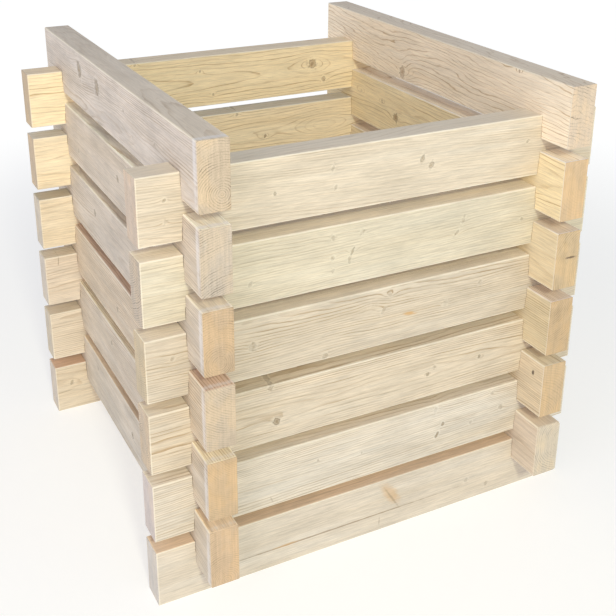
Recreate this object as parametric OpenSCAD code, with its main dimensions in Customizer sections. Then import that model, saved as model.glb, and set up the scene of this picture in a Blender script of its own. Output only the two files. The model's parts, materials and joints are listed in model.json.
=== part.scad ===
// Composter built like a log cabin. Boards with notches near both ends are stacked in turn
// along the front and back and along the sides, and lock where they cross.
// Millimetres. The origin is on the ground, at the centre of the footprint.
// X runs along the front wall, Y from the front wall to the back wall, Z up.

/* [Boards] */
// Thickness of every board
board_t = 44; // [28:1:60]
// Height of every board
board_h = 96; // [80:1:140]
// Chamfer along the four long edges of a board
edge_chamfer = 1.5; // [0.5:0.5:3]
// Length of a board's end beyond the wall that it crosses
overhang = 61; // [40:1:120]

/* [Bin] */
// Clear width inside, between the two side walls
inside_w = 540; // [300:10:1200]
// Clear depth inside, between the front and back walls
inside_d = 540; // [300:10:1200]
// Number of boards in each wall
courses = 6; // [2:1:10]
// Air gap between two boards of the same wall
air_gap = 20; // [8:1:40]

/* [Corner joints] */
// Play between a notch and the board in it, on each side of the board
notch_play = 0.5; // [0.2:0.1:2]

/* [Hidden] */
WALLS = ["front", "back", "left", "right"];

// Height from a board's lower edge to the lower edge of the next board in its wall
pitch = board_h + air_gap;
// The side walls start this much above the front and back walls
side_lift = pitch / 2;
// A board and the board that crosses it share this height, half of it notched out of each
lap = board_h - side_lift;
notch_depth = lap / 2;
notch_w = board_t + 2 * notch_play;
// Distance between the centre planes of two opposite walls
walls_apart_x = inside_w + board_t;
walls_apart_y = inside_d + board_t;
// What a cutter runs past the face that it cuts
cut_over = 1;

// Pale softwood, a little darker in every second board
function wood_shade(course) = course % 2 == 0 ? "#ead9b7" : "#e2cfa9";

// Outline of a board's cross-section: thickness along x, centred, and height along y
module board_section() {
    side = board_t / 2;
    c = edge_chamfer;
    polygon([
        [-side + c, 0], [side - c, 0], [side, c], [side, board_h - c],
        [side - c, board_h], [-side + c, board_h], [-side, board_h - c], [-side, c]
    ]);
}

// Two notch cutters for a board along X, each from z up by the notch depth
module notch_pair(crossings_apart, z, height) {
    for (side = [-1, 1])
        translate([side * crossings_apart / 2 - notch_w / 2, -board_t / 2 - cut_over, z])
            cube([notch_w, board_t + 2 * cut_over, height]);
}

// A board along X, centred on the origin, its lower edge at z = 0.
// crossings_apart is the distance between the centre planes of the walls that it crosses.
module board(crossings_apart, notched_above, notched_below) {
    length = crossings_apart + board_t + 2 * overhang;
    difference() {
        rotate([90, 0, 90])
            linear_extrude(length, center = true)
                board_section();
        if (notched_above)
            notch_pair(crossings_apart, board_h - notch_depth, notch_depth + cut_over);
        if (notched_below)
            notch_pair(crossings_apart, -cut_over, notch_depth + cut_over);
    }
}

// A board of the front wall (side = -1) or the back wall (side = 1).
// The lowest one lies on the ground and has an unbroken lower edge.
module cross_board(side, course) {
    color(wood_shade(course))
        translate([0, side * walls_apart_y / 2, (course - 1) * pitch])
            board(walls_apart_x, notched_above = true, notched_below = course > 1);
}

// A board of the left wall (side = -1) or the right wall (side = 1).
// The highest one has an unbroken upper edge.
module side_board(side, course) {
    color(wood_shade(course + 1))
        translate([side * walls_apart_x / 2, 0, side_lift + (course - 1) * pitch])
            rotate([0, 0, 90])
                board(walls_apart_y, notched_above = course < courses, notched_below = true);
}

module front_board(course) {
    cross_board(-1, course);
}

module back_board(course) {
    cross_board(1, course);
}

module left_board(course) {
    side_board(-1, course);
}

module right_board(course) {
    side_board(1, course);
}

for (course = [1:courses]) {
    front_board(course);
    back_board(course);
    left_board(course);
    right_board(course);
}
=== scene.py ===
import json
import math

import bmesh
import bpy
from mathutils import Matrix, Vector


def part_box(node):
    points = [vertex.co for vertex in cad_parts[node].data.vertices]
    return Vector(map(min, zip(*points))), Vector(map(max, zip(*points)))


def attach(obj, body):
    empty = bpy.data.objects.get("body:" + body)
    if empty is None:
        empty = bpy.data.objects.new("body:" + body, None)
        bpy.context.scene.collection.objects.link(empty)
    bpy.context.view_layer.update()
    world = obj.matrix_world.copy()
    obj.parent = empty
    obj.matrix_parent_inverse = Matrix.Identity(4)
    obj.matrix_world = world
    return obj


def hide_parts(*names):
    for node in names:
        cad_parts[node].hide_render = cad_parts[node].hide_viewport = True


# Wooden composter of 24 notched softwood boards. Metres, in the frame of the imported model.
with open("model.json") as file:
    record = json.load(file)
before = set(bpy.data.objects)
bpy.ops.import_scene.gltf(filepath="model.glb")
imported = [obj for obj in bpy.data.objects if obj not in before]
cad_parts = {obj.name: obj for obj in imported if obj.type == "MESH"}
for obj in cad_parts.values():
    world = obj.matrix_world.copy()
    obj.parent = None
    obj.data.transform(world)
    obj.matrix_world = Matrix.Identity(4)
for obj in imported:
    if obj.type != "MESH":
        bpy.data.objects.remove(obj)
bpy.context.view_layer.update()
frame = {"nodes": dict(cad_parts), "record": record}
print("frame loaded:", len(frame["nodes"]), "boards")


# Small helpers for node trees: an input may be a socket or a plain value

def feed(tree, value, socket):
    if isinstance(value, bpy.types.NodeSocket):
        tree.links.new(value, socket)
    else:
        socket.default_value = value


def mathNode(tree, operation, *values):
    node = tree.nodes.new("ShaderNodeMath")
    node.operation = operation
    for value, socket in zip(values, node.inputs):
        feed(tree, value, socket)
    return node.outputs["Value"]


def plus(tree, first, second):
    return mathNode(tree, "ADD", first, second)


def minus(tree, first, second):
    return mathNode(tree, "SUBTRACT", first, second)


def times(tree, first, second):
    return mathNode(tree, "MULTIPLY", first, second)


def over(tree, first, second):
    return mathNode(tree, "DIVIDE", first, second)


def swing(tree, value, reach):
    # a pattern from 0 to 1, turned into one that strays both ways
    return times(tree, minus(tree, value, 0.5), reach)


def joined(tree, operation, values):
    # one operation over a list, and 0 for an empty list
    total = values[0] if values else 0.0
    for value in values[1:]:
        total = mathNode(tree, operation, total, value)
    return total


def vectorNode(tree, operation, first, second=None, scale=None):
    node = tree.nodes.new("ShaderNodeVectorMath")
    node.operation = operation
    feed(tree, first, node.inputs[0])
    if second is not None:
        feed(tree, second, node.inputs[1])
    if scale is not None:
        feed(tree, scale, node.inputs["Scale"])
    return node.outputs["Value" if operation in ("LENGTH", "DOT_PRODUCT") else "Vector"]


def rampNode(tree, value, low, high, toLow=0.0, toHigh=1.0):
    node = tree.nodes.new("ShaderNodeMapRange")
    node.interpolation_type = "SMOOTHSTEP"
    feed(tree, value, node.inputs["Value"])
    feed(tree, low, node.inputs["From Min"])
    feed(tree, high, node.inputs["From Max"])
    feed(tree, toLow, node.inputs["To Min"])
    feed(tree, toHigh, node.inputs["To Max"])
    return node.outputs["Result"]


def mixNode(tree, share, first, second):
    node = tree.nodes.new("ShaderNodeMix")
    node.data_type = "RGBA"
    feed(tree, share, node.inputs["Factor"])
    feed(tree, first, node.inputs["A"])
    feed(tree, second, node.inputs["B"])
    return node.outputs["Result"]


def noiseNode(tree, vector, seed, stretch, scale=1.0, detail=2.0, roughness=0.5):
    node = tree.nodes.new("ShaderNodeTexNoise")
    node.noise_dimensions = "4D"
    feed(tree, vectorNode(tree, "MULTIPLY", vector, stretch), node.inputs["Vector"])
    feed(tree, seed, node.inputs["W"])
    node.inputs["Scale"].default_value = scale
    node.inputs["Detail"].default_value = detail
    node.inputs["Roughness"].default_value = roughness
    return node.outputs["Fac"]


def splitNode(tree, vector):
    node = tree.nodes.new("ShaderNodeSeparateXYZ")
    feed(tree, vector, node.inputs["Vector"])
    return node.outputs


def joinNode(tree, x=0.0, y=0.0, z=0.0):
    node = tree.nodes.new("ShaderNodeCombineXYZ")
    for axis, value in zip("XYZ", (x, y, z)):
        feed(tree, value, node.inputs[axis])
    return node.outputs["Vector"]


def newGroup(name, inputs, outputs):
    tree = bpy.data.node_groups.new(name, "ShaderNodeTree")
    for way, sockets in (("INPUT", inputs), ("OUTPUT", outputs)):
        for kind, labels in sockets.items():
            for label in labels.split():
                tree.interface.new_socket(label, in_out=way, socket_type="NodeSocket" + kind)
    return tree, tree.nodes.new("NodeGroupInput").outputs, tree.nodes.new("NodeGroupOutput").inputs


def useGroup(tree, group, **values):
    node = tree.nodes.new("ShaderNodeGroup")
    node.node_tree = group
    for label, value in values.items():
        feed(tree, value, node.inputs[label])
    return node.outputs


def opaque(colour):
    return (*colour, 1.0)


# Camera, light and floor

cameraView = {
    "place": (-0.7279, -1.4668, 1.1085),
    "turn": 27.39,  # degrees from +Y towards +X
    "tilt": -21.34,  # degrees above the horizon
    "roll": 0.42,
    "sensorWide": 36.0,
    "focalPixels": 1013.9,
    "picturePixels": 616,
    "shiftDown": 0.17,  # the photograph is cropped, and its optical axis lies above its middle
}

studio = {
    "floorRadius": 40.0,
    "floorSides": 96,
    "floorPale": (0.50, 0.50, 0.50),
    "floorRough": 0.9,
    "floorShine": 0.1,
    "floorGlow": (0.57, 0.79),  # beside the composter and further out
    "floorGlowTint": (1.0, 0.985, 0.95),
    "floorGlowReach": (0.9, 2.6),
    "horizon": (0.70, 0.70, 0.72),
    "zenith": (0.40, 0.435, 0.51),
    "skyFade": (0.0, 0.14),  # sine of the heights between which the sky dims
    "aim": (0.0, 0.0, 0.37),
    # a yellowish key light from the front, a little to the left, and a rosier fill light from the left
    "key": {"place": (-0.87, -3.49, 2.53), "size": 0.45, "watts": 66.0, "colour": (1.0, 1.0, 0.78)},
    "fill": {"place": (-2.66, -1.86, 1.68), "size": 2.4, "watts": 34.0, "colour": (1.0, 0.88, 0.89)},
}


def makeCamera():
    data = bpy.data.cameras.new("camera")
    data.sensor_width = cameraView["sensorWide"]
    data.lens = data.sensor_width * cameraView["focalPixels"] / cameraView["picturePixels"]
    data.shift_y = -cameraView["shiftDown"]
    camera = bpy.data.objects.new("camera", data)
    bpy.context.scene.collection.objects.link(camera)
    turned = Matrix.Rotation(math.radians(-cameraView["turn"]), 4, "Z")
    tilted = Matrix.Rotation(math.radians(90 + cameraView["tilt"]), 4, "X")
    rolled = Matrix.Rotation(math.radians(cameraView["roll"]), 4, "Z")
    camera.matrix_world = Matrix.Translation(cameraView["place"]) @ turned @ tilted @ rolled
    bpy.context.scene.camera = camera


def makeFloor():
    bm = bmesh.new()
    bmesh.ops.create_circle(bm, cap_ends=True, radius=studio["floorRadius"], segments=studio["floorSides"])
    mesh = bpy.data.meshes.new("floor")
    bm.to_mesh(mesh)
    bm.free()
    floor = bpy.data.objects.new("floor", mesh)
    bpy.context.scene.collection.objects.link(floor)
    material = bpy.data.materials.new("paleFloor")
    material.use_nodes = True
    tree = material.node_tree
    shader = tree.nodes["Principled BSDF"]
    shader.inputs["Base Color"].default_value = opaque(studio["floorPale"])
    shader.inputs["Roughness"].default_value = studio["floorRough"]
    shader.inputs["Specular IOR Level"].default_value = studio["floorShine"]
    shader.inputs["Emission Color"].default_value = opaque(studio["floorGlowTint"])
    away = vectorNode(tree, "LENGTH", tree.nodes.new("ShaderNodeTexCoord").outputs["Object"])
    glow = rampNode(tree, away, *studio["floorGlowReach"], *studio["floorGlow"])
    tree.links.new(glow, shader.inputs["Emission Strength"])
    mesh.materials.append(material)


def makeSky():
    # bright round the horizon and dimmer overhead, so that upright faces are lit more than level ones
    world = bpy.data.worlds.new("softSky")
    bpy.context.scene.world = world
    world.use_nodes = True
    tree = world.node_tree
    height = splitNode(tree, tree.nodes.new("ShaderNodeTexCoord").outputs["Generated"])["Z"]
    fade = rampNode(tree, height, *studio["skyFade"])
    sky = mixNode(tree, fade, opaque(studio["horizon"]), opaque(studio["zenith"]))
    tree.links.new(sky, tree.nodes["Background"].inputs["Color"])


def makeLight(name):
    lamp = studio[name]
    data = bpy.data.lights.new(name + "Light", "AREA")
    data.shape = "DISK"
    data.size = lamp["size"]
    data.energy = lamp["watts"]
    data.color = lamp["colour"]
    light = bpy.data.objects.new(name + "Light", data)
    bpy.context.scene.collection.objects.link(light)
    light.location = lamp["place"]
    aim = Vector(studio["aim"]) - light.location
    light.rotation_euler = aim.to_track_quat("-Z", "Y").to_euler()


makeCamera()
makeFloor()
makeSky()
makeLight("key")
makeLight("fill")
bpy.context.scene.view_settings.view_transform = "Standard"
print("camera, floor and light ready")


# Wood, grown as a log: rings round a pith line, pushed out where a branch leaves a knot.
# Its lengths are millimetres on the board: X along it from its middle, Y through it from its middle,
# Z up from its lower edge. A ramp says from which value to which, and what it gives there if that
# isn't 0 and 1.

knotLook = {
    "heart": (0.32, 0.242, 0.148),
    "heartShare": 0.85,
    "heartFade": (0.10, 1.25, 1.0, 0.0),  # fades and reaches are in knot radii
    "rim": (0.20, 0.15, 0.093),
    "rimShare": 0.55,
    "rimRise": (0.55, 0.95),
    "rimFade": (1.0, 1.35, 1.0, 0.0),
    "halo": (0.78, 0.70, 0.56),
    "haloFade": (1.1, 2.8, 1.0, 0.0),
    "paleFleck": (0.44, 0.64, 0.0, 0.70),
    "darkFleck": (0.34, 0.48, 0.40, 0.0),
    "uneven": 2.0,  # how far the outline strays
    "branchWay": (0.1, 1.0, 0.1),
    "flowReach": 0.50,  # what a length along the grain counts for, because fibres close slowly there
    "flowCore": 1.25,
    "pushSpread": 0.16,
    "seedStep": 0.7,
    # a knot's height to width, its slant, and how strongly it parts the fibres, pushes the rings,
    # darkens and shows its halo, where boardLooks gives no others
    "plain": {"tall": 1.15, "slant": 0.1, "flow": 0.55, "push": 1.0, "dark": 1.0, "glow": 1.0},
}

woodLook = {
    "millimetre": 0.001,
    "halfLength": 375.0,
    "halfHeight": 48.0,
    "halfThick": 22.0,
    "earlyWood": (0.740, 0.648, 0.506),
    "lateWood": (0.480, 0.355, 0.215),
    "paleStreak": (0.79, 0.725, 0.605),
    "warmStreak": (0.695, 0.570, 0.395),
    # a painted highlight, laid along the long arrises and the end edges
    "edgeHighlight": (0.86, 0.79, 0.65),
    # painted shade, greying the upper faces of the top boards
    "topShadeGrey": (0.625, 0.56, 0.48),
    "warmEnd": (1.0, 0.965, 0.90),  # where an end is rich in resin
    "wanderSlow": 2.6,  # how far rings wander from true circles, in rings
    "wanderQuick": 0.55,
    "lateFull": 0.97,  # where in a ring the late wood is darkest, and how steeply it gets there
    "latePower": 2.0,
    "ringLeast": 0.40,  # strength of the faintest ring, and what the strongest has on top
    "ringSpread": 0.75,
    "endRings": 0.27,
    # how far the painted edge highlight reaches from a face, at the long arrises and at the ends
    "arrisHighlightReach": (2.4, 1.4),  # distances from a face, outer and inner
    "endHighlightReach": (2.8, 1.0),
    "topSkin": (0.4, 0.1),
    "endSkin": (0.7, 0.2),
    "lateGloss": 0.08,
    "endRough": 0.22,
    "lateRelief": 0.05,
    "fibreRelief": 0.10,
    "rimRelief": 0.12,
    "sawRelief": 0.25,
    "poreRelief": 0.20,
    "reliefDeep": 0.001,  # metres
    "reliefShare": 0.55,
    "shine": 0.32,
}

# How fine each pattern is along, through and up the board, and the ramps that put patterns to use
grainNoise = {
    "knotOutline": {"stretch": (0.7, 1.0, 1.0), "scale": 0.24, "detail": 3.0},
    "fleck": {"stretch": (0.6, 1.0, 1.0), "scale": 0.34},
    "wanderSlow": {"stretch": (0.0042, 0.016, 0.016), "detail": 1.0},
    "wanderQuick": {"stretch": (0.018, 0.075, 0.075)},
    "waxing": {"stretch": (0.014, 0.16, 0.16)},
    "patches": {"stretch": (0.0055, 0.024, 0.024), "detail": 1.0},
    "broad": {"stretch": (0.0035, 0.06, 0.06)},
    "fibre": {"stretch": (0.045, 1.3, 1.3), "detail": 3.0, "roughness": 0.65},
    "blotch": {"stretch": (0.012, 0.035, 0.035), "detail": 3.0},
    "canal": {"stretch": (0.07, 0.9, 0.9), "detail": 1.0},
    "streak": {"stretch": (0.016, 0.42, 0.42)},
    "pores": {"stretch": (0.3, 0.9, 0.9), "detail": 3.0, "roughness": 0.7},
    "sawLines": {"stretch": (0.3, 0.45, 0.015)},
    "endPatch": {"stretch": (0.3, 0.045, 0.03)},
    "resinRich": {"stretch": (0.3, 0.05, 0.028)},
    "ragged": {"stretch": (0.25, 1.0, 1.0), "scale": 0.25},
}

grainRamps = {
    "ringEnd": (0.95, 1.0, 1.0, 0.0),
    "waxing": (0.32, 0.62, 0.35, 1.15),
    "patches": (0.36, 0.62, 0.66, 1.28),
    "levelRing": (0.93, 1.0, 1.0, 0.60),
    "knotCalm": (0.0, 1.0, 1.0, 0.35),
    "paleStreak": (0.50, 0.80, 0.0, 0.55),
    "warmStreak": (0.20, 0.50, 0.45, 0.0),
    "fibreShade": (0.28, 0.72, 0.84, 1.105),
    "blotchShade": (0.25, 0.75, -0.05, 0.05),
    "streakShade": (0.28, 0.72, -0.065, 0.065),
    "canalShade": (0.68, 0.80, 0.0, 0.16),
    # where the painted edge highlight shows, in patches
    "highlightShare": (0.30, 0.60, 0.35, 0.85),
    # where the painted grey shade shows on the upper faces
    "topShadeShare": (0.2, 0.7, 0.6, 1.0),
    "poreShade": (0.25, 0.75, -0.07, 0.07),
    "sawShade": (0.3, 0.7, -0.055, 0.055),
    "endPatchShade": (0.25, 0.75, -0.10, 0.10),
    "resinRich": (0.42, 0.62),
    "fibreRough": (0.2, 0.8, 0.50, 0.66),
}


def noise(tree, given, name, at="Point"):
    return noiseNode(tree, given[at], given["Seed"], **grainNoise[name])


def ramp(tree, value, name):
    return rampNode(tree, value, *grainRamps[name])


def nearing(tree, value, limit, skin):
    # 0 to 1 as a value comes up to its limit, over the given distances from it
    return rampNode(tree, value, limit - skin[0], limit - skin[1])


def makeKnotGroup():
    # a branch seen across its axis: where the fibres part, and where its heart, rim and halo show
    tree, given, result = newGroup(
        "knot", {"Vector": "Point Centre Axis", "Float": "Radius Tall Slant Flow Seed"},
        {"Vector": "Part", "Float": "Push Heart Rim Halo"})
    offset = vectorNode(tree, "SUBTRACT", given["Point"], given["Centre"])
    alongAxis = vectorNode(tree, "DOT_PRODUCT", offset, given["Axis"])
    onAxis = vectorNode(tree, "SCALE", given["Axis"], scale=alongAxis)
    across = vectorNode(tree, "SUBTRACT", offset, onAxis)
    stray = swing(tree, noise(tree, given, "knotOutline"), knotLook["uneven"])
    shape = splitNode(tree, across)
    outline = joinNode(tree, minus(tree, shape["X"], times(tree, shape["Z"], given["Slant"])), shape["Y"],
                       over(tree, shape["Z"], given["Tall"]))
    away = plus(tree, over(tree, vectorNode(tree, "LENGTH", outline), given["Radius"]), stray)
    feed(tree, rampNode(tree, away, *knotLook["heartFade"]), result["Heart"])
    rimIn, rimOut = (rampNode(tree, away, *knotLook[name]) for name in ("rimRise", "rimFade"))
    feed(tree, times(tree, rimIn, rimOut), result["Rim"])
    feed(tree, rampNode(tree, away, *knotLook["haloFade"]), result["Halo"])

    # the grain runs past on both sides, so the pattern is drawn together towards the knot's middle
    longReach = vectorNode(tree, "MULTIPLY", across, (knotLook["flowReach"], 1.0, 1.0))
    reach = over(tree, vectorNode(tree, "LENGTH", longReach), given["Radius"])
    nearness = over(tree, 1.0, plus(tree, times(tree, reach, reach), knotLook["flowCore"]))
    nearness = times(tree, nearness, given["Flow"])
    sideways = vectorNode(tree, "MULTIPLY", across, (0.0, 1.0, 1.0))
    feed(tree, vectorNode(tree, "SCALE", sideways, scale=times(tree, nearness, -1.0)), result["Part"])
    far = plus(tree, times(tree, times(tree, reach, reach), knotLook["pushSpread"]), 1.0)
    feed(tree, over(tree, 1.0, times(tree, far, far)), result["Push"])
    return tree


def makeRings(tree, given):
    # growth rings round the pith line: the share of dark late wood at a place
    along = splitNode(tree, given["Point"])["X"]
    pith = vectorNode(tree, "ADD", given["Pith"], vectorNode(tree, "SCALE", given["Drift"], scale=along))
    spoke = vectorNode(tree, "SUBTRACT", given["Point"], pith)
    spoke = vectorNode(tree, "MULTIPLY", spoke, (0.0, 1.0, 1.0))
    radius = vectorNode(tree, "LENGTH", spoke)
    slow, quick = (swing(tree, noise(tree, given, name), woodLook[name] * 2)
                   for name in ("wanderSlow", "wanderQuick"))
    count = over(tree, radius, given["Ring"])
    count = plus(tree, count, times(tree, plus(tree, slow, quick), given["Wander"]))
    count = minus(tree, count, given["Push"])
    inRing = mathNode(tree, "FRACT", count)
    dice = tree.nodes.new("ShaderNodeTexWhiteNoise")
    dice.noise_dimensions = "2D"
    feed(tree, joinNode(tree, mathNode(tree, "FLOOR", count), given["Seed"]), dice.inputs["Vector"])
    darkening = rampNode(tree, inRing, given["LateFrom"], woodLook["lateFull"])
    darkening = mathNode(tree, "POWER", darkening, woodLook["latePower"])
    strength = times(tree, dice.outputs["Value"], woodLook["ringSpread"])
    strength = plus(tree, strength, woodLook["ringLeast"])
    late = times(tree, times(tree, darkening, ramp(tree, inRing, "ringEnd")), strength)
    # the lines come and go along the board, and fade in wide patches
    for name in ("waxing", "patches"):
        late = times(tree, late, ramp(tree, noise(tree, given, name), name))
    # where a ring runs level with the face its dark part spreads out and pales
    sides = splitNode(tree, vectorNode(tree, "ABSOLUTE", spoke))
    level = over(tree, mathNode(tree, "MAXIMUM", sides["Y"], sides["Z"]), radius)
    late = times(tree, late, ramp(tree, level, "levelRing"))
    return times(tree, late, ramp(tree, given["Halo"], "knotCalm"))


def makePlaned(tree, given, drawn, fibre, blotch):
    # planed faces: rings, broad streaks, long fibres and short resin canals
    colour = mixNode(tree, mathNode(tree, "MINIMUM", drawn, 1.0), opaque(woodLook["earlyWood"]),
                     opaque(woodLook["lateWood"]))
    broad = noise(tree, given, "broad")
    for name in ("paleStreak", "warmStreak"):
        colour = mixNode(tree, ramp(tree, broad, name), colour, opaque(woodLook[name]))
    stain = times(tree, ramp(tree, blotch, "blotchShade"), given["Stain"])
    shade = plus(tree, ramp(tree, fibre, "fibreShade"), stain)
    shade = plus(tree, shade, ramp(tree, noise(tree, given, "streak"), "streakShade"))
    shade = minus(tree, shade, ramp(tree, noise(tree, given, "canal"), "canalShade"))
    # the board's tone: its own colour, and painted light too, brightening boards seen from inside and
    # cooling the left boards' outer faces
    return vectorNode(tree, "SCALE", vectorNode(tree, "MULTIPLY", colour, given["Tone"]), scale=shade)


def makeKnotColours(tree, given, colour):
    # pale and dark flecks in the halo, then the heart and the rim
    fleck = noise(tree, given, "fleck", at="Place")
    paler = times(tree, given["Halo"], rampNode(tree, fleck, *knotLook["paleFleck"]))
    colour = mixNode(tree, paler, colour, vectorNode(tree, "MULTIPLY", given["Tone"], knotLook["halo"]))
    darker = times(tree, given["Halo"], rampNode(tree, fleck, *knotLook["darkFleck"]))
    heart = vectorNode(tree, "MULTIPLY", given["KnotTone"], knotLook["heart"])
    rim = vectorNode(tree, "MULTIPLY", given["KnotTone"], knotLook["rim"])
    colour = mixNode(tree, darker, colour, heart)
    colour = mixNode(tree, times(tree, given["Heart"], knotLook["heartShare"]), colour, heart)
    return mixNode(tree, times(tree, given["Rim"], knotLook["rimShare"]), colour, rim)


def makeEdges(tree, given, colour, blotch):
    # long arrises and end edges, lightened as a painted highlight, and the upper edge face, lightened or
    # darkened as painted light and shade
    edge = splitNode(tree, given["Place"])
    offPlane = mathNode(tree, "ABSOLUTE", edge["Y"])
    nearSide = nearing(tree, offPlane, woodLook["halfThick"], woodLook["arrisHighlightReach"])
    offMiddle = mathNode(tree, "ABSOLUTE", minus(tree, edge["Z"], woodLook["halfHeight"]))
    nearTop = nearing(tree, offMiddle, woodLook["halfHeight"], woodLook["arrisHighlightReach"])
    offCentre = mathNode(tree, "ABSOLUTE", edge["X"])
    nearEnd = nearing(tree, offCentre, woodLook["halfLength"], woodLook["endHighlightReach"])
    # the painted highlight: pale along the long arrises and the end edges
    highlit = mathNode(tree, "MAXIMUM", times(tree, nearSide, nearTop), nearEnd)
    highlit = times(tree, highlit, ramp(tree, blotch, "highlightShare"))
    colour = mixNode(tree, highlit, colour, opaque(woodLook["edgeHighlight"]))

    onTop = nearing(tree, edge["Z"], woodLook["halfHeight"] * 2, woodLook["topSkin"])
    # painted light and shade on the upper face: each board's top is lightened or darkened and tinted
    colour = mixNode(tree, onTop, colour, vectorNode(tree, "MULTIPLY", colour, given["TopTone"]))
    # painted shade: the upper face of a top board greyed in patches
    topShadeGrey = times(tree, times(tree, onTop, given["Dust"]), ramp(tree, blotch, "topShadeShare"))
    colour = mixNode(tree, topShadeGrey, colour, opaque(woodLook["topShadeGrey"]))
    return colour, nearing(tree, offCentre, woodLook["halfLength"], woodLook["endSkin"])


def makeSawn(tree, given, late, pores, sawLines):
    # sawn ends: the same rings cut across, open pores and the saw's fine lines
    endGrain = minus(tree, ramp(tree, pores, "poreShade"), times(tree, late, woodLook["endRings"]))
    endGrain = times(tree, endGrain, given["EndGrain"])
    patch = noise(tree, given, "endPatch", at="Place")
    unevenness = plus(tree, ramp(tree, sawLines, "sawShade"), ramp(tree, patch, "endPatchShade"))
    endShade = plus(tree, plus(tree, endGrain, unevenness), 1.0)
    warmed = vectorNode(tree, "MULTIPLY", given["EndTone"], woodLook["warmEnd"])
    resinRich = ramp(tree, noise(tree, given, "resinRich", at="Place"), "resinRich")
    return vectorNode(tree, "SCALE", mixNode(tree, resinRich, given["EndTone"], warmed), scale=endShade)


def makeWoodGroup():
    tree, given, result = newGroup(
        "softwood",
        {"Vector": "Point Place Pith Drift", "Color": "Tone TopTone EndTone KnotTone",
         "Float": "Ring Wander Contrast LateFrom EndGrain Stain Dust Seed Push Heart Rim Halo"},
        {"Color": "Colour", "Float": "Roughness Height"})
    late = makeRings(tree, given)
    drawn = times(tree, late, given["Contrast"])
    fibre, blotch = noise(tree, given, "fibre"), noise(tree, given, "blotch")
    pores, sawLines = noise(tree, given, "pores", at="Place"), noise(tree, given, "sawLines", at="Place")
    colour = makePlaned(tree, given, drawn, fibre, blotch)
    colour = makeKnotColours(tree, given, colour)
    colour, atEnd = makeEdges(tree, given, colour, blotch)
    colour = mixNode(tree, atEnd, colour, makeSawn(tree, given, late, pores, sawLines))
    feed(tree, colour, result["Colour"])

    planed = minus(tree, ramp(tree, fibre, "fibreRough"), times(tree, drawn, woodLook["lateGloss"]))
    feed(tree, plus(tree, planed, times(tree, atEnd, woodLook["endRough"])), result["Roughness"])
    relief = times(tree, drawn, woodLook["lateRelief"])
    relief = plus(tree, relief, times(tree, fibre, woodLook["fibreRelief"]))
    relief = minus(tree, relief, times(tree, given["Rim"], woodLook["rimRelief"]))
    sawn = times(tree, sawLines, woodLook["sawRelief"])
    sawn = plus(tree, sawn, times(tree, pores, woodLook["poreRelief"]))
    feed(tree, plus(tree, relief, times(tree, sawn, atEnd)), result["Height"])
    return tree


knotGroup = makeKnotGroup()
woodGroup = makeWoodGroup()

markLook = {
    "resin": (0.62, 0.38, 0.16),
    "shake": (0.36, 0.27, 0.18),  # a fine dark split
    # the dark shade inside a hole, painted
    "paintedHole": (0.12, 0.085, 0.06),
    # a painted highlight, pale and a little cool
    "paleHighlight": (0.83, 0.81, 0.82),
    "edge": (0.35, 1.15),  # the fade, in half widths
    "uneven": 1.2,
}


def markMask(tree, place, mark, seed):
    # a soft-edged dash on the wood, turned by its slant
    offset = vectorNode(tree, "SUBTRACT", place, (mark["along"], 0.0, mark["up"]))
    angle = math.radians(mark["slant"])
    lengthwise = vectorNode(tree, "DOT_PRODUCT", offset, (math.cos(angle), 0.0, math.sin(angle)))
    crosswise = vectorNode(tree, "DOT_PRODUCT", offset, (-math.sin(angle), 0.0, math.cos(angle)))
    inward = 0.0
    if "deep" in mark:
        inward = minus(tree, splitNode(tree, place)["Y"], mark["through"])
        inward = times(tree, inward, 2 / mark["deep"])
    spot = joinNode(tree, times(tree, lengthwise, 2 / mark["long"]), inward,
                    times(tree, crosswise, 2 / mark["high"]))
    ragged = noiseNode(tree, place, seed, **grainNoise["ragged"])
    stray = swing(tree, ragged, markLook["uneven"])
    away = plus(tree, vectorNode(tree, "LENGTH", spot), stray)
    return rampNode(tree, away, *markLook["edge"], mark["strength"], 0.0)


def boardPlace(tree, centre, alongY):
    # a place in the board's own coordinates
    mapping = tree.nodes.new("ShaderNodeMapping")
    mapping.vector_type = "TEXTURE"
    mapping.inputs["Location"].default_value = centre
    mapping.inputs["Rotation"].default_value = (0.0, 0.0, math.radians(90.0 if alongY else 0.0))
    mapping.inputs["Scale"].default_value = [woodLook["millimetre"]] * 3
    tree.links.new(tree.nodes.new("ShaderNodeTexCoord").outputs["Object"], mapping.inputs["Vector"])
    return mapping.outputs["Vector"]


def boardKnots(tree, look, place):
    # the fibres parted by all knots, and the joint masks of their pushes, hearts, rims and halos
    point, masks = place, {"Push": [], "Heart": [], "Rim": [], "Halo": []}
    axis = Vector(knotLook["branchWay"]).normalized()
    for number, given in enumerate(look["knots"]):
        knot = {**knotLook["plain"], **given}
        used = useGroup(
            tree, knotGroup, Point=place, Centre=(knot["along"], look["face"], knot["up"]), Axis=axis,
            Radius=knot["across"] / 2, Tall=knot["tall"], Slant=knot["slant"], Flow=knot["flow"],
            Seed=look["seed"] + number * knotLook["seedStep"])
        point = vectorNode(tree, "ADD", point, used["Part"])
        for label, key in (("Push", "push"), ("Heart", "dark"), ("Rim", "dark"), ("Halo", "glow")):
            masks[label].append(times(tree, used[label], knot[key]))
    return point, {label: joined(tree, "ADD" if label == "Push" else "MAXIMUM", values)
                   for label, values in masks.items()}


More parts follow.
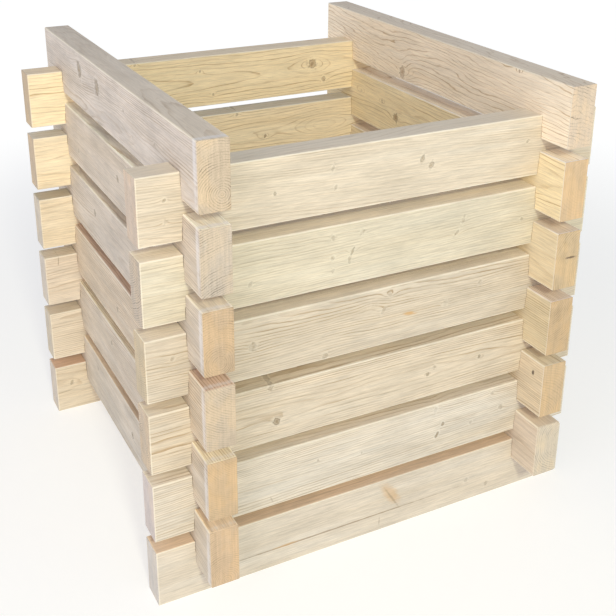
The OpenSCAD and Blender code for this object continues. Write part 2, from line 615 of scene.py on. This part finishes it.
def boardMaterial(name, look, centre, alongY):
    material = bpy.data.materials.new(name)
    material.use_nodes = True
    tree = material.node_tree
    shader = tree.nodes["Principled BSDF"]
    place = boardPlace(tree, centre, alongY)
    point, masks = boardKnots(tree, look, place)
    wood = useGroup(
        tree, woodGroup, Point=point, Place=place, Pith=(0.0, *look["pith"]), Drift=(0.0, *look["drift"]),
        Ring=look["ring"], Wander=look["wander"], Contrast=look["contrast"], LateFrom=look["lateFrom"],
        EndGrain=look["endGrain"], Stain=look["stain"], Dust=look["dust"], Seed=look["seed"],
        Tone=opaque(look["tone"]), TopTone=opaque(look["topTone"]), EndTone=opaque(look["endTone"]),
        KnotTone=opaque(look["knotTone"]), **masks)
    colour = wood["Colour"]
    for mark in look["marks"]:
        mask = markMask(tree, place, mark, look["seed"])
        colour = mixNode(tree, mask, colour, opaque(markLook[mark["tint"]]))
    tree.links.new(colour, shader.inputs["Base Color"])
    tree.links.new(wood["Roughness"], shader.inputs["Roughness"])
    shader.inputs["Specular IOR Level"].default_value = woodLook["shine"]
    bump = tree.nodes.new("ShaderNodeBump")
    bump.inputs["Distance"].default_value = woodLook["reliefDeep"]
    bump.inputs["Strength"].default_value = woodLook["reliefShare"]
    tree.links.new(wood["Height"], bump.inputs["Height"])
    tree.links.new(bump.outputs["Normal"], shader.inputs["Normal"])
    return material


# How each board's wood looks. pith is where the log's middle lies, through the board and up it, and drift
# is how far it moves there per millimetre of length. ring is the width of a ring. face is the side that
# knots are placed on. A mark is a dash, long and high, turned by slant degrees. It shows on every face
# that it reaches, unless it says how far through the board it lies, and how deep it is there.

# tone scales a board's colour: its own colour, and painted light as well, brighter on the back and right
# boards that are seen from inside and bluer on the left boards in cool shade
plainLook = {
    "face": -woodLook["halfThick"], "pith": (54, 150), "drift": (0.012, 0.006), "ring": 3.1, "wander": 0.8,
    # how much the upper face of a top board is greyed, as painted shade
    "contrast": 0.85, "lateFrom": 0.40, "endGrain": 1.0, "stain": 1.0, "dust": 0.0,
    # how each board's upper face is lightened or darkened and tinted, as painted light and shade
    "tone": (1.0, 1.0, 1.0), "topTone": (1.1, 1.1, 1.1), "endTone": (0.68, 0.57, 0.45),
    "knotTone": (1.0, 1.0, 1.0), "knots": [], "marks": [],
}


def plainBoard(**changes):
    return {**plainLook, **changes}


def endEdgeHighlight(up):
    # a painted highlight: a pale strip beside the front end of a left board
    return dict(along=-366, up=up, long=13, high=150, slant=0, strength=0.5, tint="paleHighlight")


boardLooks = {
    "front_board_6": plainBoard(
        seed=6.3, pith=(52, -52), drift=(0.01, -0.05), ring=3.2, contrast=0.56, endGrain=1.6, stain=1.5,
        dust=0.45, tone=(0.945, 0.938, 0.943), topTone=(1.26, 1.239, 1.232),
        endTone=(0.645, 0.535, 0.43),
        knots=[
            dict(along=-181, up=43, across=4, dark=0.85),
            dict(along=-92, up=66, across=4, dark=0.5, tall=2.2, slant=0.15),
            dict(along=-87, up=38, across=4, dark=0.6, tall=1.4),
            dict(along=55, up=59, across=6, dark=0.8, tall=1.6, slant=0.25, push=1.6),
            dict(along=71, up=46, across=8, dark=0.8, push=1.4),
            dict(along=245, up=58, across=4, dark=0.6), dict(along=-337, up=61, across=4, dark=0.7),
            dict(along=-337, up=31, across=4, dark=0.3, flow=0.5)]),
    "front_board_5": plainBoard(
        seed=5.8, pith=(58, 148), drift=(0.012, 0.016), ring=3.1, wander=1.0, contrast=0.54,
        endGrain=1.9, stain=1.5, tone=(0.926, 0.947, 0.934), topTone=(1.35, 1.34, 1.4),
        endTone=(0.57, 0.49, 0.395),
        knots=[
            dict(along=-58, up=51, across=4, dark=0.9, tall=2.6, slant=0.4, push=2.2),
            dict(along=-63, up=38, across=4, dark=0.6, glow=0.6, tall=2.2, slant=-0.1),
            dict(along=-90, up=78, across=5, dark=0.4, flow=0.5),
            dict(along=-90, up=46, across=5, dark=0.35, flow=0.5),
            dict(along=-90, up=26, across=4, dark=0.35, flow=0.5),
            dict(along=134, up=64, across=5, dark=0.35, tall=2.0, slant=0.3),
            dict(along=124, up=46, across=5, dark=0.6, tall=1.5, slant=0.6),
            dict(along=246, up=46, across=4, dark=0.7), dict(along=-219, up=32, across=5, dark=0.45),
            dict(along=-42, up=78, across=6, dark=0.25, flow=0.5)]),
    "front_board_4": plainBoard(
        seed=4.6, pith=(14, 100), drift=(-0.02, 0.012), ring=3.1, wander=1.15, contrast=1.09,
        endGrain=1.3, stain=1.5, tone=(0.89, 0.882, 0.887), topTone=(1.313, 1.339, 1.406),
        endTone=(0.625, 0.525, 0.365),
        knots=[
            dict(along=8, up=84, across=6, dark=0.3, glow=0.6, tall=1.6, slant=-0.5, push=1.6),
            dict(along=-2, up=58, across=5, dark=0.4, glow=0.6, tall=1.8, slant=0.5, push=1.6),
            dict(along=-24, up=70, across=11, dark=0.0, glow=0.3, push=-1.4, flow=0.0),
            dict(along=-217, up=51, across=9, dark=0.35, flow=0.5),
            dict(along=175, up=68, across=6, dark=0.3, flow=0.5),
            dict(along=111, up=46, across=7, dark=0.25, push=0.8),
            dict(along=-100, up=6, across=7, dark=0.55), dict(along=-336, up=62, across=5, dark=0.55)],
        marks=[
            dict(along=45, up=43, long=27, high=8, slant=-8, strength=0.85, tint="resin")]),
    "front_board_3": plainBoard(
        seed=3.1, pith=(6, 46), drift=(0.014, 0.0), ring=3.2, wander=0.75, contrast=1.29, endGrain=2.0,
        stain=1.5, tone=(0.945, 0.927, 0.918), topTone=(1.18, 1.2, 1.23), endTone=(0.625, 0.52, 0.395),
        knots=[
            dict(along=-180, up=32, across=9.5, dark=1.15, tall=1.0, slant=0.0, push=1.3),
            dict(along=-189, up=92, across=7, dark=0.6, push=0.0, flow=0.3),
            dict(along=85, up=41, across=5, push=1.0),
            dict(along=184, up=48, across=5, dark=1.15, push=0.6),
            dict(along=97, up=51, across=6, dark=0.3, push=0.4, flow=0.5)]),
    "front_board_2": plainBoard(
        seed=2.4, pith=(56, -58), drift=(-0.01, 0.016), ring=3.2, wander=0.7, contrast=1.35, stain=1.5,
        tone=(0.975, 1.004, 1.072), topTone=(1.15, 1.14, 1.15), endTone=(0.69, 0.615, 0.57),
        knots=[
            dict(along=121, up=54, across=6, dark=1.1, push=0.8),
            dict(along=110, up=37, across=5, dark=1.15, tall=1.8, slant=0.35, push=0.8),
            dict(along=105, up=86, across=7, dark=0.3, push=1.6, flow=0.5),
            dict(along=237, up=53, across=7, dark=0.65), dict(along=177, up=41, across=5, dark=0.5),
            dict(along=217, up=86, across=5, dark=0.35, flow=0.5),
            dict(along=-110, up=58, across=3, dark=0.5), dict(along=-32, up=47, across=3, dark=0.5)],
        marks=[
            dict(along=-189, up=12, long=15, high=3, slant=-70, strength=0.45, tint="shake")]),
    "front_board_1": plainBoard(
        seed=1.7, pith=(30, 150), drift=(0.02, -0.004), ring=4.4, wander=0.6, contrast=0.28, stain=1.5,
        tone=(0.937, 0.944, 0.984), topTone=(1.11, 0.96, 0.86), endTone=(0.685, 0.64, 0.58),
        knots=[
            dict(along=177, up=42, across=6, dark=0.5),
            dict(along=220, up=21, across=6, dark=0.35, flow=0.5)],
        marks=[
            dict(along=-85, up=33, long=560, high=3.4, slant=0, strength=0.85, tint="shake"),
            dict(along=-165, up=33.5, long=56, high=5, slant=0, strength=0.6, tint="resin"),
            dict(along=24, up=66, long=64, high=24, slant=-55, strength=0.5, tint="resin"),
            dict(along=28, up=56, long=62, high=4.5, slant=-58, strength=0.6, tint="shake"),
            dict(along=5, up=18, long=20, high=3, slant=88, strength=0.45, tint="shake")]),
    # the back and right boards are brightened as painted light, where their inner faces get little light
    "back_board_6": plainBoard(
        seed=16.2, pith=(16, 50), drift=(0.018, 0.004), ring=4.6, contrast=1.6, lateFrom=0.66,
        dust=0.45, tone=(1.28, 1.217, 1.04), topTone=(1.077, 1.038, 1.059), endTone=(0.58, 0.465, 0.33),
        knotTone=(1.0, 0.8, 0.62),
        knots=[
            dict(along=179, up=58, across=14, dark=0.9, push=3.2, flow=0.6),
            dict(along=205, up=25, across=8, dark=0.7), dict(along=-57, up=68, across=4, dark=0.7),
            dict(along=-32, up=21, across=4, dark=0.7), dict(along=-182, up=93, across=4, dark=0.6)]),
    "back_board_5": plainBoard(
        seed=15.5, pith=(12, 46), drift=(-0.02, 0.012), ring=4.4, contrast=1.25, lateFrom=0.62,
        tone=(1.223, 1.175, 1.061), topTone=(0.779, 0.874, 1.104), endTone=(0.62, 0.5, 0.36),
        knotTone=(1.0, 0.8, 0.62),
        knots=[
            dict(along=205, up=44, across=30, dark=0.0, glow=0.0, push=3.6, flow=0.0),
            dict(along=76, up=40, across=6, push=2.2), dict(along=16, up=91, across=5, dark=0.7),
            dict(along=76, up=8, across=5, dark=0.6)]),
    "back_board_4": plainBoard(
        seed=14.9, pith=(-40, 70), drift=(0.02, -0.015), ring=3.8, contrast=0.5,
        tone=(1.141, 1.103, 1.026), topTone=(0.698, 0.718, 0.74), endTone=(0.67, 0.6, 0.495),
        knots=[
            dict(along=-140, up=60, across=9, push=1.6), dict(along=95, up=30, across=6)]),
    "back_board_3": plainBoard(
        seed=13.3, pith=(44, 15), drift=(-0.018, 0.02), ring=3.4, contrast=1.2,
        tone=(1.052, 1.023, 1.036), topTone=(0.977, 1.015, 1.025), endTone=(0.7, 0.63, 0.535),
        knots=[
            dict(along=40, up=48, across=10, push=2.0), dict(along=-250, up=70, across=5, dark=0.7),
            dict(along=260, up=24, across=5, dark=0.6)],
        marks=[
            dict(along=-350, up=87, long=20, high=2.4, slant=84, strength=0.8, tint="shake")]),
    "back_board_2": plainBoard(
        seed=12.1, pith=(-34, 88), drift=(0.024, 0.01), ring=3.6, contrast=1.2,
        tone=(1.063, 1.045, 1.049), topTone=(0.963, 0.966, 0.951), endTone=(0.66, 0.59, 0.475),
        knots=[
            dict(along=-60, up=34, across=8, push=1.6), dict(along=170, up=64, across=7)]),
    "back_board_1": plainBoard(
        seed=11.4, pith=(40, 52), drift=(0.016, -0.02), ring=3.6, contrast=0.65, tone=(0.99, 0.95, 0.9),
        topTone=(1.0, 0.812, 0.745), endTone=(0.7, 0.625, 0.53),
        knots=[
            dict(along=-345, up=58, across=6, dark=0.8), dict(along=120, up=44, across=9, push=1.8),
            dict(along=-110, up=80, across=5, dark=0.6)]),
    "left_board_6": plainBoard(
        seed=26.8, face=22, pith=(-3, 14), drift=(0.02, -0.024), ring=3.4, wander=1.2, contrast=1.2,
        endGrain=1.8, stain=2.4, dust=0.45, tone=(0.899, 0.92, 1.036), topTone=(1.226, 1.153, 1.041),
        endTone=(0.585, 0.475, 0.35),
        knots=[
            dict(along=152, up=68, across=19, push=1.4), dict(along=52, up=60, across=18, push=1.4),
            dict(along=-217, up=46, across=4, dark=0.6), dict(along=-122, up=28, across=4, dark=0.6),
            dict(along=-82, up=58, across=4, dark=0.6)],
        marks=[endEdgeHighlight(72)]),
    "left_board_5": plainBoard(
        seed=25.6, face=22, pith=(-20, -44), drift=(0.012, 0.02), ring=3.4, endGrain=2.0, stain=2.4,
        tone=(0.879, 0.879, 0.931), topTone=(1.42, 1.506, 1.526), endTone=(0.555, 0.475, 0.385),
        knots=[
            dict(along=-30, up=52, across=8, push=1.4), dict(along=196, up=30, across=5, dark=0.7)],
        marks=[endEdgeHighlight(65)]),
    "left_board_4": plainBoard(
        seed=24.2, face=22, pith=(-6, 22), drift=(-0.014, 0.012), ring=3.4, wander=0.9, endGrain=1.8,
        stain=2.4, tone=(0.869, 0.879, 0.941), topTone=(1.3, 1.3, 1.28), endTone=(0.55, 0.41, 0.27),
        knots=[
            dict(along=118, up=58, across=8, push=1.6), dict(along=-150, up=40, across=6, dark=0.8)],
        marks=[endEdgeHighlight(58)]),
    "left_board_3": plainBoard(
        seed=23.7, face=22, pith=(-30, 130), drift=(0.016, 0.015), ring=3.5, contrast=1.45,
        endGrain=1.1, stain=2.4, tone=(0.913, 0.882, 0.862), topTone=(1.095, 0.957, 0.952),
        endTone=(0.585, 0.48, 0.36),
        knots=[
            dict(along=20, up=36, across=8, push=1.5), dict(along=-190, up=66, across=4, dark=0.6)],
        marks=[endEdgeHighlight(51)]),
    "left_board_2": plainBoard(
        seed=22.9, face=22, pith=(-50, 142), drift=(0.018, -0.01), ring=3.1, contrast=1.5, endGrain=0.7,
        stain=2.4, tone=(0.91, 0.911, 0.944), topTone=(1.353, 1.358, 1.251), endTone=(0.6, 0.44, 0.275),
        knots=[
            dict(along=72, up=62, across=7, push=1.4), dict(along=-88, up=24, across=5, dark=0.7)],
        marks=[endEdgeHighlight(44)]),
    "left_board_1": plainBoard(
        seed=21.5, face=22, pith=(2, 12), drift=(0.01, 0.014), ring=3.5, endGrain=1.2, stain=2.4,
        tone=(0.898, 0.917, 0.97), topTone=(1.19, 1.05, 0.9), endTone=(0.63, 0.465, 0.305),
        knots=[
            dict(along=-20, up=44, across=8, push=1.5), dict(along=180, up=70, across=6, dark=0.7)],
        marks=[endEdgeHighlight(37)]),
    # the right boards are brightened as painted light as well
    "right_board_6": plainBoard(
        seed=36.4, face=22, pith=(-30, 150), drift=(-0.02, 0.05), ring=6.0, wander=1.7, contrast=1.65,
        lateFrom=0.66, endGrain=1.9, dust=0.45, tone=(1.283, 1.261, 1.261),
        topTone=(0.989, 0.957, 0.942), endTone=(0.67, 0.545, 0.42), knotTone=(1.15, 0.95, 0.82),
        knots=[
            dict(along=85, up=15, across=14, dark=0.75, tall=1.3, slant=0.0, push=2.4),
            dict(along=95, up=40, across=26, dark=0.0, glow=0.0, push=2.6, flow=0.0),
            dict(along=-250, up=92, across=4)],
        marks=[
            dict(along=300, up=52, long=60, high=3, slant=28, strength=0.4, tint="shake"),
            dict(along=262, up=34, long=44, high=2.5, slant=24, strength=0.35, tint="shake")]),
    "right_board_5": plainBoard(
        seed=35.1, face=22, pith=(-10, 60), drift=(0.02, 0.004), ring=4.4, contrast=1.1, lateFrom=0.6,
        endGrain=0.55, tone=(1.2, 1.143, 0.938), topTone=(1.056, 1.124, 1.449),
        endTone=(0.65, 0.475, 0.295), knotTone=(1.0, 0.8, 0.62),
        knots=[
            dict(along=101, up=39, across=12, push=1.6),
            dict(along=152, up=59, across=6, dark=0.4, push=1.8, flow=0.5),
            dict(along=232, up=61, across=5, dark=0.4, push=2.4, flow=0.5)]),
    "right_board_4": plainBoard(
        seed=34.7, face=22, pith=(-44, 30), drift=(0.018, 0.016), ring=3.9, contrast=0.4,
        tone=(1.058, 1.009, 0.865), topTone=(0.968, 0.986, 1.232), endTone=(0.61, 0.46, 0.285),
        knots=[
            dict(along=-70, up=50, across=8, push=1.5), dict(along=140, up=28, across=6)],
        marks=[
            # a hole in the end, painted as its dark shade, and a faint split
            dict(along=-375, up=52, long=18, high=4.5, slant=0, strength=0.85, tint="paintedHole", through=-8,
                 deep=26),
            dict(along=-375, up=57, long=18, high=22, slant=0, strength=0.22, tint="shake", through=6,
                 deep=18)]),
    "right_board_3": plainBoard(
        seed=33.5, face=22, pith=(30, 110), drift=(-0.016, 0.014), ring=3.6, contrast=1.45,
        tone=(0.972, 0.942, 0.813), topTone=(1.108, 1.1, 1.366), endTone=(0.59, 0.43, 0.26),
        knots=[
            dict(along=26, up=60, across=9, push=1.8), dict(along=-200, up=38, across=5, dark=0.7)]),
    "right_board_2": plainBoard(
        seed=32.3, face=22, pith=(44, -12), drift=(0.014, -0.018), ring=4.0, contrast=1.25,
        endGrain=0.75, tone=(1.008, 0.968, 0.897), topTone=(1.019, 1.044, 1.079),
        endTone=(0.635, 0.47, 0.29),
        knots=[
            dict(along=-128, up=42, across=8, push=1.5), dict(along=90, up=72, across=5, dark=0.7)],
        marks=[
            # a small hole, painted as its dark shade
            dict(along=-349, up=72, long=6, high=10, slant=10, strength=0.95, tint="paintedHole")]),
    "right_board_1": plainBoard(
        seed=31.8, face=22, pith=(-38, 64), drift=(-0.02, 0.01), ring=4.3, contrast=0.32,
        tone=(0.94, 0.908, 0.921), endTone=(0.69, 0.595, 0.465),
        knots=[
            dict(along=64, up=38, across=8, push=1.6), dict(along=-172, up=66, across=6, dark=0.8)]),
}


# Boards

boardShape = {
    "topCourse": 6,
    "notchPlay": 0.0005,
    "arris": 0.0015,  # rounding of the four long edges
    "arrisSteps": 3,
    "sawnEdge": 0.0005,  # what rubbing has taken off the sawn edges
    "sawnSteps": 2,
    "sawnTurn": 50.0,  # degrees that the faces at a sawn edge turn by, at least
    "levelTurn": 0.01,  # radians that two fields of one face may differ by
    "near": 1e-6,  # metres that count as none
}


def boardOutline(bm, length, height, crossing, notchWide, notchDeep, above, below):
    # the board's side view in X and Z, cut into fields by the notch lines, and the notches' fields deleted
    bmesh.ops.create_grid(bm, x_segments=1, y_segments=1, size=0.5)
    bmesh.ops.scale(bm, vec=(length, height, 1.0), verts=bm.verts)
    bmesh.ops.translate(bm, vec=(0.0, height / 2, 0.0), verts=bm.verts)
    bmesh.ops.rotate(bm, cent=(0, 0, 0), matrix=Matrix.Rotation(math.radians(90), 3, "X"), verts=bm.verts)

    def cut(place, normal):
        everything = bm.verts[:] + bm.edges[:] + bm.faces[:]
        bmesh.ops.bisect_plane(bm, geom=everything, plane_co=place, plane_no=normal)

    for side in (-1, 1):
        for edge in (-1, 1):
            cut((side * crossing + edge * notchWide / 2, 0, 0), (1, 0, 0))
    upperFloor, lowerFloor = height - notchDeep, notchDeep
    if above:
        cut((0, 0, upperFloor), (0, 0, 1))
    if below:
        cut((0, 0, lowerFloor), (0, 0, 1))

    def inNotch(face):
        middle = face.calc_center_median()
        if abs(abs(middle.x) - crossing) > notchWide / 2:
            return False
        return (above and middle.z > upperFloor) or (below and middle.z < lowerFloor)

    bmesh.ops.delete(bm, geom=[face for face in bm.faces if inNotch(face)], context="FACES")


def roundEdges(bm, edges, offset, steps):
    bmesh.ops.bevel(bm, geom=edges, affect="EDGES", offset=offset, offset_type="OFFSET", segments=steps,
                    profile=0.5, material=-1, clamp_overlap=True)


def boardTimber(length, thickness, height, crossing, notchDeep, above, below):
    # the outline grown through the board, its long edges rounded and its sawn edges rubbed
    notchWide = thickness + 2 * boardShape["notchPlay"]
    near = boardShape["near"]
    bm = bmesh.new()
    boardOutline(bm, length, height, crossing, notchWide, notchDeep, above, below)
    grown = bmesh.ops.extrude_face_region(bm, geom=bm.faces[:])
    moved = [item for item in grown["geom"] if isinstance(item, bmesh.types.BMVert)]
    bmesh.ops.translate(bm, vec=(0, thickness, 0), verts=moved)
    bmesh.ops.translate(bm, vec=(0, -thickness / 2, 0), verts=bm.verts)
    bmesh.ops.dissolve_limit(bm, angle_limit=boardShape["levelTurn"], verts=bm.verts[:], edges=bm.edges[:])
    bmesh.ops.recalc_face_normals(bm, faces=bm.faces[:])

    def isArris(edge):
        first, second = (vert.co for vert in edge.verts)
        level = abs(first.z - second.z) < near and abs(first.y - second.y) < near
        outermost = min(abs(first.z), abs(first.z - height)) < near
        return level and outermost and abs(abs(first.y) - thickness / 2) < near

    def isSawn(edge):
        return edge.is_convex and edge.calc_face_angle(0.0) > math.radians(boardShape["sawnTurn"])

    arrises = [edge for edge in bm.edges if isArris(edge)]
    roundEdges(bm, arrises, boardShape["arris"], boardShape["arrisSteps"])
    sawn = [edge for edge in bm.edges if isSawn(edge)]
    roundEdges(bm, sawn, boardShape["sawnEdge"], boardShape["sawnSteps"])
    return bm


bodyNodes = frame["record"]["behaviour"]["bodies"]


def makeBoard(name):
    low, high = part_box(name)
    wall, course = name.split("_")[0], int(name.split("_")[-1])
    alongY = wall in ("left", "right")
    size = high - low
    length, thickness = (size.y, size.x) if alongY else (size.x, size.y)
    sideLow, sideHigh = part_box("left_board_1")
    frontLow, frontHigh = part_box("front_board_1")
    crossing = abs(frontLow.y + frontHigh.y) / 2 if alongY else abs(sideLow.x + sideHigh.x) / 2
    notchDeep = (frontHigh.z - sideLow.z) / 2
    # the highest side boards have no notch in their upper edge, the lowest front and back boards none below
    above = not (alongY and course == boardShape["topCourse"])
    below = alongY or course > 1

    bm = boardTimber(length, thickness, size.z, crossing, notchDeep, above, below)
    centre = (low + high) / 2
    centre.z = low.z
    turn = Matrix.Rotation(math.radians(90 if alongY else 0), 4, "Z")
    bmesh.ops.transform(bm, matrix=Matrix.Translation(centre) @ turn, verts=bm.verts)
    mesh = bpy.data.meshes.new(name + "_timber")
    bm.to_mesh(mesh)
    bm.free()
    board = bpy.data.objects.new(name + "_timber", mesh)
    bpy.context.scene.collection.objects.link(board)
    mesh.materials.append(boardMaterial(name + "_wood", boardLooks[name], centre, alongY))
    body = next(body for body, nodes in bodyNodes.items() if name in nodes)
    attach(board, body)
    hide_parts(name)


for name in boardLooks:
    makeBoard(name)
print("boards made:", len(boardLooks))
